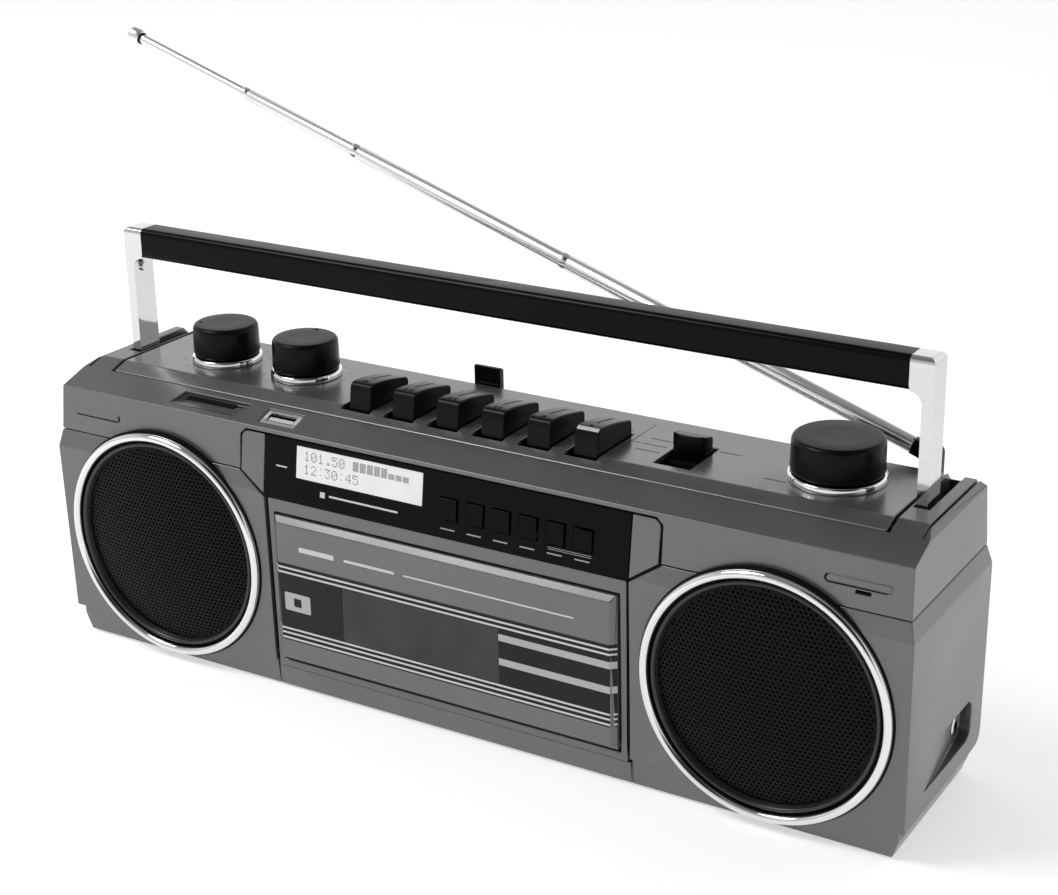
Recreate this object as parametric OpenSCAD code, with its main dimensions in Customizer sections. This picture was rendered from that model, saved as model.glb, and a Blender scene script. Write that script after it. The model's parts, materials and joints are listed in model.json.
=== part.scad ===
// Portable radio and cassette player ("boombox") with a folding carry handle, piano keys,
// two round speakers, a tilting cassette door and a telescopic aerial.
// Frame: +X to the right seen from the front, the front faces -Y, +Z is up, and the origin is
// the centre of the base on the surface the object stands on. Drawn at rest, in millimetres.

/* [Body] */
// Width at the widest line, just under the upper seam
body_w = 400; // [380:1:420]
// Depth at the front and rear of the widest line
body_d = 81; // [78:0.5:86]
// Height of the flat control plate on top
body_h = 125.5; // [122:0.5:132]
// Wall thickness of the plastic mouldings
wall = 2.4; // [1.8:0.1:3]
// Height of the rubber feet
foot_h = 1; // [0.5:0.1:2]

/* [Speakers] */
// Distance of each speaker axis from the centre line
speaker_x = 142.6; // [140:0.1:146]
// Height of the speaker axes
speaker_z = 54.8; // [52:0.1:58]
// Outer radius of the chrome speaker rings
ring_r = 51.6; // [48:0.1:53]

/* [Handle] */
// Height of the top of the handle when it stands up
handle_top = 181.8; // [170:0.1:200]
// Depth of the grip and arms, front to back
handle_d = 12.2; // [10:0.1:14]

/* [Aerial] */
// Angle of the aerial above level as it stands
aerial_tilt = 18.5; // [0:0.5:60]
// Length of the fixed aerial tube, from the tilting pin
aerial_len = 173; // [150:0.5:180]

/* [Controls] */
// Distance between neighbouring piano keys
key_pitch = 21.4; // [20:0.1:23]
// Distance between neighbouring front buttons
button_pitch = 12.2; // [11.5:0.1:13]

/* [Hidden] */
$fn = 64;
hw = body_w / 2;
hd = body_d / 2;
shell_top = 12.9;               // top of the bottom shell
widest_z = 90.4;                // height of the widest line
seam_z = 98;                    // seam between the middle and upper cabinets
shoulder_z = body_h - 7.7;      // top of the upright front face
plate_y = -22.5;                // front edge of the control plate
flat_y = -14.5;                 // front edge of the flat part of the control plate
rear_y = 36.8;                  // rear edge of the top
end_x = 181.3;                  // middle of the groove at each end of the control plate

bay_x = 86.2;                   // half width of the opening for the middle panel
surround_x = 99;                // half width of the display surround
bezel_lean = 7.64;              // how far the display leans back, degrees
bevel_lean = 19.3;              // slope of the front bevel, degrees
front_lean = -1.03;             // slope of the front, degrees

door_x = 81.5;
door_z = [15.9, 82];
door_axis = [-37, 18];          // y and z of the cassette door hinge
window_x = [-47, 29];
window_z = [28, 58.5];
spindle_x = 21.25;              // half the distance between cassette hubs
spindle_z = 47.3;
chassis_y = -17;                // front of the tape deck's chassis plate

knobs = [[-142.5, 8.7, 14.4, 16.9], [-99.3, 9, 14.4, 16.9], [148, 9.8, 18.1, 17.2]];
knob_ring_h = 3;

key_x0 = -53.5;                 // middle of the leftmost key
key_w = 10.6;
key_axis = [8, 118];            // y and z of the rod the keys turn on
lever_x = 88.1;
lever_slot = [15.6, -9.9, 15.1]; // width, front and rear of the function switch slot

handle_y = 4.8;                 // middle of the handle's depth
pivot_z = 118;
arm_x = [183.6, 188];           // inside and outside of a handle arm
grip_x = 178.4;
grip_z = handle_top - 13.3;
channel_x = [182.9, 189.3];

aerial_y = 43.4;
aerial_x = 172.5;
aerial_z = 128;
tube_r = [3.5, 3.15, 2.65, 2.1];
bore_r = [3.2, 2.71, 2.16];
tube_end = [aerial_len, aerial_len + 109.2, aerial_len + 170.2, aerial_len + 229];
tube_start = [8, 118, 189, 250];

bay_half = 78;                  // battery bay, half width, height range and depth range
bay_z = [26, 80];
bay_y = [10, 38.3];
screw_at = [for (x = [-184, 184], z = [25, 84.5]) [x, z]]; // case screws

jack_y = 20;
jack_z = 29;
jack_face = 196.4;
jack_r = 1.8;
jack_depth = 13;

black = [0.07, 0.07, 0.075];
dark = [0.2, 0.2, 0.21];
silver = [0.5, 0.51, 0.52];
light = [0.66, 0.67, 0.68];
chrome = [0.85, 0.86, 0.88];
board = [0.1, 0.3, 0.15];

// ---------- helpers ----------

// Fills the box between two corners.
module box(a, b) {
    translate(a)
        cube(b - a);
}

// Extrudes a [y, z] outline along X.
module along_x(x0, x1) {
    translate([x0, 0, 0])
        rotate([90, 0, 90])
            linear_extrude(x1 - x0)
                children();
}

// Extrudes an [x, z] outline along Y.
module along_y(y0, y1) {
    translate([0, y1, 0])
        rotate([90, 0, 0])
            linear_extrude(y1 - y0)
                children();
}

module rod_x(x0, x1, y, z, r) {
    translate([x0, y, z])
        rotate([0, 90, 0])
            cylinder(r = r, h = x1 - x0);
}

module rod_y(y0, y1, x, z, r) {
    translate([x, y1, z])
        rotate([90, 0, 0])
            cylinder(r = r, h = y1 - y0);
}

module rod_z(z0, z1, x, y, r) {
    translate([x, y, z0])
        cylinder(r = r, h = z1 - z0);
}

// A rectangle with all four corners rounded, between corners a and b.
module rounded(a, b, r) {
    for (x = [a[0] + r, b[0] - r], y = [a[1] + r, b[1] - r])
        translate([x, y])
            circle(r);
    translate([a[0] + r, a[1]])
        square([b[0] - a[0] - 2 * r, b[1] - a[1]]);
    translate([a[0], a[1] + r])
        square([b[0] - a[0], b[1] - a[1] - 2 * r]);
}

// A pair of mirror images, right and left.
module both() {
    children();
    mirror([1, 0, 0])
        children();
}

// Puts children on the sloping display, bevel or front: X stays, Y runs up the slope and Z
// points out of the surface.
module on_bezel() {
    translate([0, -hd, widest_z - 1])
        rotate([90 - bezel_lean, 0, 0])
            children();
}

module on_bevel() {
    translate([0, -hd + 3.7, shoulder_z])
        rotate([bevel_lean, 0, 0])
            children();
}

module on_front(x, z) {
    translate([x, front_y(z), z])
        rotate([90 - front_lean, 0, 0])
            children();
}

// ---------- outline of the body ----------

function front_y(z) = -hd + 1.4 * (widest_z - z) / (widest_z - shell_top);

// Front view of the middle cabinet, t inside its side walls.
module side_walls_inside(t) {
    polygon([[-hw + 0.4 + t, shell_top - 1], [-hw + t, widest_z], [-hw + 1.8 + t, seam_z + 1],
             [hw - 1.8 - t, seam_z + 1], [hw - t, widest_z], [hw - 0.4 - t, shell_top - 1]]);
}

// The middle cabinet's outline, t inside its outer skin.
module middle_form(t) {
    intersection() {
        along_x(-hw, hw)
            difference() {
                polygon([[-hd + 1.4 + t, shell_top], [-hd + t, widest_z], [-hd + 1.8 + t, seam_z],
                         [hd - 1.8 - t, seam_z], [hd + 0.4 - t, widest_z],
                         [hd + 0.3 - t, shell_top]]);
                difference() {
                    translate([hd - 5.7, shell_top - 1])
                        square([8, 7]);
                    translate([hd - 5.7, shell_top + 6])
                        circle(6 - t);
                }
            }
        along_y(-hd - 5, hd + 5)
            polygon([[-hw + 0.4 + t, shell_top], [-hw + t, widest_z], [-hw + 1.8 + t, seam_z],
                     [hw - 1.8 - t, seam_z], [hw - t, widest_z], [hw - 0.4 - t, shell_top]]);
    }
}

// Side view of the upper cabinet's outline, t inside its outer skin.
module upper_side(t) {
    polygon([[-hd + 1.8 + t, seam_z + 0.4], [-hd + 3.7 + t, shoulder_z - t * 0.6],
             [plate_y + t * 0.3, body_h - 2.7 - t], [flat_y, body_h - t],
             [rear_y - 2.8, body_h - t], [rear_y - t, body_h - 2.8 - t * 0.5],
             [hd - 1.8 - t, seam_z + 0.4]]);
}

module upper_form(t) {
    intersection() {
        along_x(-hw, hw)
            upper_side(t);
        along_y(-hd - 5, hd + 5)
            polygon([[-hw + 1.8 + t, seam_z + 0.4], [-hw + 2.6 + t, body_h - 3 - t * 0.6],
                     [-hw + 5.4 + t, body_h - t], [hw - 5.4 - t, body_h - t],
                     [hw - 2.6 - t, body_h - 3 - t * 0.6], [hw - 1.8 - t, seam_z + 0.4]]);
    }
}

// The display opening's outline on the front, c larger than the surround.
module display_outline(c) {
    polygon([[-bay_x, -0.2 - c], [-surround_x - c, 8.6 - c], [-surround_x - c, 24.2 + c],
             [-surround_x + 2.6, 26.8 + c], [surround_x - 2.6, 26.8 + c],
             [surround_x + c, 24.2 + c], [surround_x + c, 8.6 - c], [bay_x, -0.2 - c]]);
}

// ---------- cabinet ----------

module bottom_shell() {
    color(dark)
        difference() {
            intersection() {
                along_x(-hw, hw)
                    polygon([[-36.5, foot_h], [-37.6, shell_top], [38.2, shell_top], [37, foot_h]]);
                along_y(-hd, hd)
                    polygon([[-194.4, foot_h], [-196.8, 8], [-196.8, shell_top],
                             [196.8, shell_top], [196.8, 8], [194.4, foot_h]]);
            }
            box([-192, -34, foot_h + wall], [192, 34.6, shell_top + 1]);
            box([-bay_x, -hd, 10.5], [bay_x, -35.6, shell_top + 1]);
            for (s = [-1, 1])
                box([s * bay_x - 0.4, -hd, foot_h - 1], [s * bay_x + 0.4, -36.2, shell_top]);
            speaker_hole();
        }
}

// Pocket in the right side that gets deeper towards the rear, where the socket sits.
module side_pocket() {
    intersection() {
        linear_extrude(100)
            polygon([[hw + 2, -22.8], [hw + 2, 28.3], [hw - 5.2, 28.3], [hw - 0.2, -22.8]]);
        along_x(hw - 12, hw + 3)
            rounded([-34, 21], [28.3, 37.7], 5);
        box([0, -22.8, 0], [hw + 3, 40, 60]);
    }
}

// Clears the space a speaker takes in the walls around it.
module speaker_hole() {
    both()
        on_front(speaker_x, speaker_z) {
            translate([0, 0, -8])
                cylinder(r = ring_r - 1.4, h = 12);
            translate([0, 0, -10])
                cylinder(r = ring_r - 3.4, h = 14);
        }
}

module middle_cabinet() {
    color(silver)
        difference() {
            union() {
                difference() {
                    middle_form(0);
                    middle_form(wall);
                }
                both()
                    box([bay_x + 0.4, 1.5 - hd, 84], [bay_x + 2.8, -6, seam_z]);
                box([2 - hw, -12, seam_z - wall], [hw - 2, -6, seam_z]);
                box([hw - 9.5, -26, 19], [hw - 1.5, 31, 40]);
                both()
                    for (z = [25, 84.5])
                        box([180, 28, z - 4], [hw - wall, bay_y[1] - 0.2, z + 4]);
            }
            box([-bay_x, -hd - 2, shell_top - 1], [bay_x, -hd + 6, widest_z]);
            on_bezel()
                translate([0, 0, -8])
                    linear_extrude(12)
                        display_outline(0.15);
            speaker_hole();
            along_y(bay_y[1] - 0.3, hd + 5)
                side_walls_inside(wall);
            for (p = screw_at)
                rod_y(27, bay_y[1], p[0], p[1], 1.4);
            side_pocket();
            rod_x(hw - 12, hw, jack_y, jack_z, 3.7);
            rod_x(jack_face - 1.3, hw, jack_y, jack_z, 4.6);
        }
}

module handle_channels() {
    both()
        box([channel_x[0], handle_y - 7.4, pivot_z - 6.5], [channel_x[1], hd + 5, body_h + 1]);
}

module upper_cabinet() {
    color(silver)
        difference() {
            union() {
                difference() {
                    upper_form(0);
                    upper_form(wall);
                    box([-190, -34, seam_z], [190, 34, seam_z + wall + 1]);
                }
                intersection() {
                    upper_form(0);
                    both()
                        box([end_x + 0.7, plate_y, pivot_z - 9], [194.6, hd, body_h]);
                }
                box([-66, -26, 117.4], [end_x, -19.4, 119.9]);
                box([-end_x, -26, 117.4], [-146, -19.4, 119.9]);
                box([aerial_x - 7, rear_y - 1.5, 103], [aerial_x + 7, aerial_y, 116]);
                rod_z(103, 116, aerial_x, aerial_y, 7);
                both()
                    on_bezel()
                        translate([177.8 - 12, 17.6, -1.1])
                            cube([24, 2.7, 1.4]);
            }
            difference() {
                box([-end_x - 0.7, plate_y, 119.9], [end_x + 0.7, hd, body_h + 1]);
                both()
                    box([end_x - 3, flat_y, 100], [end_x + 1, hd, body_h - wall - 0.4]);
                box([-end_x, rear_y - 4, 100], [end_x, hd, body_h - wall - 0.4]);
            }
            handle_channels();
            speaker_hole();
            both()
                difference() {
                    box([194.1, plate_y, 118], [195, hd, body_h + 1]);
                    intersection() {
                        upper_form(0.9);
                        box([190, plate_y - 1, 100], [198, hd, body_h]);
                    }
                }
            rod_z(102, 117, aerial_x, aerial_y, 3.45);
            both()
                rod_x(end_x, channel_x[1] + 3, handle_y, pivot_z, 2.23);
            on_bezel()
                translate([0, 0, -8])
                    linear_extrude(12)
                        display_outline(0.15);
            on_bevel() {
                translate([0, 0, -2])
                    linear_extrude(4)
                        polygon([[-140, 3.5], [-105, 3.5], [-102.4, 12.1], [-137.4, 12.1]]);
                translate([-136, 9.2, -6])
                    cube([26, 2.7, 6]);
                translate([-92.5, 3.4, -6])
                    cube([18.1, 8.6, 8]);
            }
            box([176.3, -hd, 104], [182.2, -30, 105.5]);
        }
}

module rear_cover() {
    color(dark)
        difference() {
            union() {
                intersection() {
                    middle_form(0);
                    along_y(bay_y[1], hd + 5)
                        side_walls_inside(wall + 0.3);
                    box([-hw, 0, shell_top + 0.3], [hw, hd + 5, seam_z - 0.1]);
                }
                box([-bay_half - 2, bay_y[0] - 2, bay_z[0] - 2],
                    [bay_half + 2, bay_y[1], bay_z[1] + 2]);
            }
            box([-bay_half, bay_y[0], bay_z[0]], [bay_half, hd + 1, bay_z[1]]);
            rod_x(-bay_half - 1.4, bay_half + 1.4, hd - 0.9, bay_z[0] + 1.8, 0.75);
            for (p = screw_at) {
                rod_y(bay_y[1] - 1, hd + 1, p[0], p[1], 1.5);
                rod_y(hd - 1.4, hd + 1, p[0], p[1], 3.2);
            }
            box([-163, 30, 25], [-141, hd + 1, 37]);
            for (s = [-1, 1], i = [0:7])
                box([s * speaker_x - 20, 30, 44 + 5 * i], [s * speaker_x + 20, hd + 1, 46 + 5 * i]);
        }
}

module control_plate() {
    color(light)
        difference() {
            union() {
                intersection() {
                    upper_form(0);
                    along_x(-end_x + 0.7, end_x - 0.7)
                        polygon([[plate_y + 0.5, body_h + 1], [plate_y + 0.5, body_h - 5.1],
                                 [flat_y, body_h - wall], [hd, body_h - wall], [hd, body_h + 1]]);
                }
                for (i = [-1:5])
                    box([key_x0 + (i + 0.5) * key_pitch - 1, key_axis[0] - 3, key_axis[1] - 3],
                        [key_x0 + (i + 0.5) * key_pitch + 1, key_axis[0] + 3, body_h - 2]);
            }
            for (i = [0:5])
                box([key_x(i) - key_w / 2 - 3.2, -17, 100],
                    [key_x(i) + key_w / 2 + 0.4, 12.9, body_h + 1]);
            rod_x(key_x(-1), key_x(6), key_axis[0], key_axis[1], 1.5);
            for (k = knobs)
                rod_z(110, body_h + 1, k[0], k[1], 3.4);
            box([lever_x - lever_slot[0] / 2, lever_slot[1], 110],
                [lever_x + lever_slot[0] / 2, lever_slot[2], body_h + 1]);
        }
}

module middle_panel() {
    color(silver)
        difference() {
            union() {
                along_x(-bay_x + 1.3, bay_x - 1.3)
                    polygon([[front_y(11) + 0.7, 11], [front_y(widest_z) + 0.8, widest_z - 1.2],
                             [front_y(widest_z) + 3.2, widest_z - 1.2],
                             [front_y(11) + 3.1, 11]]);
                both()
                    box([door_x + 0.6, door_axis[0] - 1, shell_top + 0.3],
                        [bay_x - 1.3, door_axis[0] + 3, door_axis[1] + 3.5]);
            }
            box([-door_x - 0.5, -hd - 3, door_z[0] - 1.5], [door_x + 0.5, -30, door_z[1] + 0.7]);
            rod_x(-bay_x, bay_x, door_axis[0], door_axis[1], 1.25);
            on_bezel()
                translate([-bay_x, -0.4, -10])
                    cube([2 * bay_x, 10, 14]);
        }
}

// ---------- display ----------

module display_surround() {
    color(light)
        on_bezel()
            difference() {
                translate([0, 0, -4.6])
                    linear_extrude(4.6)
                        display_outline(0);
                translate([-bay_x, -1, -2.4])
                    cube([2 * bay_x, 40, 3]);
                translate([-73, 4, -6])
                    cube([146.5, 20.9, 8]);
            }
}

module display_bezel() {
    color(black)
        on_bezel()
            difference() {
                translate([-bay_x + 0.2, 0.1, -2.4])
                    cube([2 * bay_x - 0.4, 26.2, 2.4]);
                translate([-70, 10.5, -3])
                    cube([62.4, 13.9, 4]);
                for (i = [0:5])
                    translate([0.6 + button_pitch * i, 7.3, -3])
                        cube([8.8, 9.3, 4]);
            }
}

module display_window() {
    color([0.8, 0.85, 0.9, 0.4])
        on_bezel()
            translate([-69.95, 10.55, -1.9])
                cube([62.3, 13.8, 1.7]);
}

module display_module() {
    color([0.85, 0.9, 0.95])
        on_bezel()
            translate([-72, 9, -8])
                cube([66.4, 15.5, 5.5]);
}

module button(i) {
    color(black)
        on_bezel()
            translate([0.9 + button_pitch * (i - 1), 7.6, 0]) {
                translate([0, 0, -4])
                    cube([8.2, 8.7, 4.7]);
                translate([-1, -1, -4.6])
                    cube([10.2, 10.7, 1.4]);
            }
}

// ---------- speakers ----------

module speaker_ring() {
    color(chrome)
        on_front(speaker_x, speaker_z)
            rotate_extrude()
                polygon([[ring_r - 4.9, -4], [ring_r - 1.5, -4], [ring_r - 1.5, 0.02],
                         [ring_r, 0.02], [ring_r, 1.2], [ring_r - 0.9, 2.4], [ring_r - 2.4, 3],
                         [ring_r - 4, 2.4], [ring_r - 4.9, 1]]);
}

// Domed cover with a raised lip, pierced by rings of round holes.
module speaker_grille() {
    color(black)
        on_front(speaker_x, speaker_z)
            difference() {
                union() {
                    rotate_extrude()
                        polygon([[ring_r - 6.8, -2.4], [ring_r - 5, -2.4], [ring_r - 5, 0.8],
                                 [ring_r - 5.8, 1.2], [ring_r - 6.8, 0.4]]);
                    intersection() {
                        translate([0, 0, 2.6 - 268])
                            difference() {
                                sphere(268);
                                sphere(266.8);
                            }
                        translate([0, 0, -4])
                            cylinder(r = ring_r - 6.4, h = 8);
                    }
                }
                for (n = [1:3], k = [0:6 * n - 1])
                    rotate([0, 0, k * 60 / n])
                        translate([10.5 * n, 0, -5])
                            cylinder(r = 2.4, h = 10);
            }
}

module speaker_driver() {
    color(dark)
        on_front(speaker_x, speaker_z)
            rotate_extrude()
                polygon([[0, -37], [22, -37], [22, -27], [30, -25], [44, -9], [47.5, -7],
                         [47.5, -4.3], [42, -4.3], [38, -6.5], [14, -16], [10, -13.5], [5, -12],
                         [0, -11.6]]);
}

// ---------- sockets ----------

module sd_reader() {
    color(dark)
        on_bevel()
            difference() {
                translate([-137.5, 8, -28])
                    cube([29, 5.2, 24]);
                translate([-135.5, 9.4, -27])
                    cube([25, 2.4, 24]);
            }
}

module usb_port() {
    color(chrome)
        on_bevel()
            translate([-92.4, 3.5, 0]) {
                difference() {
                    translate([0, 0, -17])
                        cube([17.9, 8.4, 16.4]);
                    translate([2.2, 1.5, -16])
                        cube([13.5, 5.4, 17]);
                }
                translate([3.4, 3.2, -16.5])
                    cube([11.1, 1.9, 13]);
            }
}

module headphone_socket() {
    color(chrome)
        difference() {
            union() {
                rod_x(181, jack_face, jack_y, jack_z, 3.6);
                rod_x(jack_face - 0.9, jack_face, jack_y, jack_z, 4.3);
            }
            rod_x(jack_face - jack_depth, jack_face + 1, jack_y, jack_z, jack_r);
        }
}

module mains_inlet() {
    color(black)
        difference() {
            box([-162.8, 24, 25.2], [-141.2, hd + 0.2, 36.8]);
            box([-160, 26.5, 27], [-144, hd + 1, 35]);
        }
    color(chrome)
        for (x = [-156, -148])
            rod_y(26, 37, x, 31, 1.15);
}

module battery_door() {
    color(dark) {
        box([-bay_half + 0.4, bay_y[1] + 0.2, bay_z[0] + 1.8],
            [bay_half - 0.4, hd + 0.2, bay_z[1] - 0.4]);
        rod_x(-bay_half + 0.4, bay_half - 0.4, hd - 0.9, bay_z[0] + 1.8, 1.1);
        rod_x(-bay_half - 1.2, bay_half + 1.2, hd - 0.9, bay_z[0] + 1.8, 0.7);
    }
}

module main_board() {
    color(board) {
        box([-80, -10, 92], [80, 34, 93.6]);
        box([30, 6, 93.5], [66, 30, 112]);
        for (x = [-60:20:0])
            rod_z(93.5, 108, x, 18, 6);
    }
}

module feet() {
    color(black)
        for (p = [[-165, -26], [-165, 26], [165, -26], [165, 26], [0, 0]])
            rod_z(0, foot_h, p[0], p[1], 8);
}

module case_screws() {
    color(chrome)
        for (p = screw_at) {
            rod_y(hd - 1.4, hd, p[0], p[1], 3);
            rod_y(28, hd - 1, p[0], p[1], 1.35);
        }
}

// ---------- handle ----------

module handle_grip() {
    color(black)
        difference() {
            along_x(-grip_x, grip_x)
                rounded([handle_y - handle_d / 2, grip_z], [handle_y + handle_d / 2, handle_top],
                        2.5);
            for (s = [-1, 1])
                box([s * grip_x - 6, handle_y - 2, grip_z + 4],
                    [s * grip_x + 6, handle_y + 2, handle_top - 4]);
        }
}

module handle_arm() {
    color(chrome)
        difference() {
            union() {
                box([arm_x[0], handle_y - handle_d / 2, pivot_z],
                    [arm_x[1], handle_y + handle_d / 2, handle_top - 4]);
                rod_x(arm_x[0], arm_x[1], handle_y, pivot_z, handle_d / 2);
                intersection() {
                    along_x(grip_x, arm_x[1])
                        rounded([handle_y - handle_d / 2, grip_z],
                                [handle_y + handle_d / 2, handle_top], 2.5);
                    along_y(-20, 20)
                        rounded([grip_x - 20, grip_z - 20], [arm_x[1], handle_top], 2.6);
                }
                difference() {
                    box([arm_x[0] - 5, handle_y - handle_d / 2, grip_z - 5],
                        [arm_x[0] + 1, handle_y + handle_d / 2, grip_z + 3]);
                    rod_y(-20, 20, arm_x[0] - 5, grip_z - 5, 5);
                    box([arm_x[0] - 6, -20, grip_z], [grip_x, 20, grip_z + 9]);
                }
                rod_x(arm_x[0] - 1.2, arm_x[0] + 1, handle_y, 163, 2);
                box([grip_x - 5.5, handle_y - 1.9, grip_z + 4.1],
                    [grip_x + 1, handle_y + 1.9, handle_top - 4.1]);
            }
            rod_x(arm_x[0] - 1, arm_x[1] + 1, handle_y, pivot_z, 2.25);
        }
}

module handle_pivots() {
    color(chrome)
        both()
            rod_x(end_x + 1, channel_x[1] + 2.6, handle_y, pivot_z, 2.2);
}

// ---------- knobs, keys and lever ----------

module knob(i) {
    k = knobs[i];
    color(black)
        translate([k[0], k[1], body_h])
            rotate_extrude()
                polygon([[0, -12], [3, -12], [3, knob_ring_h + 0.4], [k[2], knob_ring_h + 0.4],
                         [k[2] - 0.3, k[3] - 1], [k[2] - 1.3, k[3]], [0, k[3]]]);
}

module knob_ring(i) {
    k = knobs[i];
    color(chrome)
        translate([k[0], k[1], body_h])
            rotate_extrude()
                polygon([[3.6, 0], [k[2] + 1, 0], [k[2] + 1, knob_ring_h - 0.6],
                         [k[2] + 0.4, knob_ring_h], [3.6, knob_ring_h]]);
}

module knob_rings() {
    knob_ring(0);
    knob_ring(1);
}

function key_x(i) = key_x0 + key_pitch * i;

// Piano key: tall at the front, falling to the rear, turning on the rod under the plate.
module key(n) {
    x = key_x(n - 1);
    color(black)
        difference() {
            along_x(x - key_w / 2, x + key_w / 2)
                polygon([[-15.5, 117.5], [-15.5, body_h], [-14.3, body_h + 8.4],
                         [-13.7, body_h + 9.7], [-12.2, body_h + 10.4],
                         [-9, body_h + 10.2], [-2, body_h + 9],
                         [5, body_h + 7.7], [11.4, body_h + 7], [12.3, body_h + 6],
                         [12.3, 121], [11.1, 117.5], [9.6, 115.4], [6.4, 115.4], [4.9, 117.5]]);
            rod_x(x - 10, x + 10, key_axis[0], key_axis[1], 1.55);
        }
}

module key_axle() {
    color(chrome)
        rod_x(key_x(-0.5) - 2, key_x(5.5) + 2, key_axis[0], key_axis[1], 1.5);
}

module function_lever() {
    color(black) {
        along_x(lever_x - 7.25, lever_x + 7.25)
            polygon([[3, 121.5], [3, body_h + 5.5], [4.2, body_h + 7.6], [6, body_h + 8],
                     [8.6, body_h + 7.6], [11, body_h + 5], [11, 121.5]]);
        box([lever_x - 10.5, 0, 120.7], [lever_x + 10.5, 14, body_h - wall - 0.5]);
    }
}

// ---------- cassette deck ----------

module cassette_door() {
    color(silver)
        difference() {
            union() {
                intersection() {
                    along_x(-door_x, door_x)
                        polygon([[-37.6, door_z[0]], [-39.6, door_z[0]],
                                 [-42.2, door_z[0] + 2.6], [-42.5, door_z[1] - 2.5],
                                 [-40.3, door_z[1]], [-37.6, door_z[1]]]);
                    linear_extrude(100)
                        polygon([[-door_x, -37.6], [-door_x, -40], [-door_x + 2.5, -42.6],
                                 [door_x - 2.5, -42.6], [door_x, -40], [door_x, -37.6]]);
                }
                both() {
                    box([door_x - 2.4, -39.5, door_axis[1] - 1.8],
                        [door_x - 0.2, door_axis[0], door_axis[1] + 6]);
                    rod_x(door_x - 2.4, door_x - 0.2, door_axis[0], door_axis[1], 2);
                    rod_x(door_x - 1, door_x + 2.8, door_axis[0], door_axis[1], 1.2);
                }
            }
            box([window_x[0], -50, window_z[0]], [window_x[1], -30, window_z[1]]);
        }
}

module door_window() {
    color([0.1, 0.1, 0.12, 0.6])
        box([window_x[0], -42, window_z[0]], [window_x[1], -40.2, window_z[1]]);
}

module cassette_holder() {
    color(black) {
        both() {
            box([51.2, -37.6, 17], [52.4, -22, 70]);
            box([45, -23.2, 17], [52.4, -22, 70]);
        }
        box([-52.4, -37.6, 17], [52.4, -22, 18.2]);
    }
}

module tape_chassis() {
    color(dark)
        difference() {
            union() {
                box([-66, chassis_y, 16], [66, chassis_y + 2, 88]);
                both()
                    for (z = [20, 84])
                        rod_y(-37, chassis_y + 1, 62, z, 3);
            }
            for (s = [-1, 1])
                rod_y(-20, -10, s * spindle_x, spindle_z, 1.55);
        }
}

module tape_head() {
    color(chrome) {
        box([-8, -32, 83.5], [8, chassis_y, 87.5]);
        box([12, -32, 83.5], [24, chassis_y, 85.5]);
        box([-9, -20, 82], [26, chassis_y, 87.5]);
    }
}

module reel_spindle(x) {
    color([0.9, 0.9, 0.9]) {
        rod_y(-19.2, chassis_y - 0.3, x, spindle_z, 12);
        rod_y(-31, -19, x, spindle_z, 2.8);
        rod_y(-19, -10, x, spindle_z, 1.5);
        for (a = [0:120:240])
            translate([x, 0, spindle_z])
                rotate([0, a, 0])
                    box([-0.6, -29, 0], [0.6, -19, 4.2]);
    }
}

// ---------- aerial ----------

module aerial_clip() {
    color(black)
        difference() {
            box([-32, 37.35, 117], [-19, 49.4, 132.3]);
            box([-33, 39.6, 123.6], [-18, 47.2, 140]);
            box([-33, 47, 128], [-18, 50, 140]);
            box([-24.6, 39.6, 116], [-18, 50, 140]);
            box([-30.7, 37, 125], [-20.3, 38.3, 131]);
            box([-33, 36, 123], [-18, 37.6, 140]);
        }
}

module aerial_turret() {
    color(black)
        union() {
            rod_z(103.5, 117, aerial_x, aerial_y, 3.4);
            rod_z(116.4, 119, aerial_x, aerial_y, 5.8);
            for (y = [aerial_y - 3.4, aerial_y + 3.4]) {
                box([aerial_x - 3.5, y - 1.2, 118], [aerial_x + 3.5, y + 1.2, aerial_z]);
                rod_y(y - 1.2, y + 1.2, aerial_x, aerial_z, 3.5);
            }
        }
    color(chrome)
        rod_y(aerial_y - 4.4, aerial_y + 4.4, aerial_x, aerial_z, 1.2);
}

// Z runs from the tilting pin out along the aerial.
module along_aerial() {
    translate([aerial_x, aerial_y, aerial_z])
        rotate([0, aerial_tilt - 90, 0])
            children();
}

// A tube from a to b, open at the outer end and closed by a plug at the inner end.
module tube(a, b, r, bore) {
    difference() {
        translate([0, 0, a])
            cylinder(r = r, h = b - a);
        translate([0, 0, a + 3])
            cylinder(r = bore, h = b - a);
    }
}

module aerial_tube_1() {
    color(chrome)
        along_aerial()
            difference() {
                union() {
                    tube(tube_start[0], tube_end[0], tube_r[0], bore_r[0]);
                    rod_y(-1.9, 1.9, 0, 0, 3.5);
                    box([-3.2, -1.9, 0], [3.2, 1.9, tube_start[0] + 1]);
                }
                rod_y(-5, 5, 0, 0, 1.25);
            }
}

module aerial_tube_2() {
    color(chrome)
        along_aerial()
            tube(tube_start[1], tube_end[1], tube_r[1], bore_r[1]);
}

module aerial_tube_3() {
    color(chrome)
        along_aerial()
            tube(tube_start[2], tube_end[2], tube_r[2], bore_r[2]);
}

module aerial_tip() {
    color(chrome)
        along_aerial() {
            translate([0, 0, tube_start[3]])
                cylinder(r = tube_r[3], h = tube_end[3] - tube_start[3] + 1);
            translate([0, 0, tube_end[3]])
                cylinder(r = 3.5, h = 6.5);
        }
}

// ---------- nodes ----------

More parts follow.
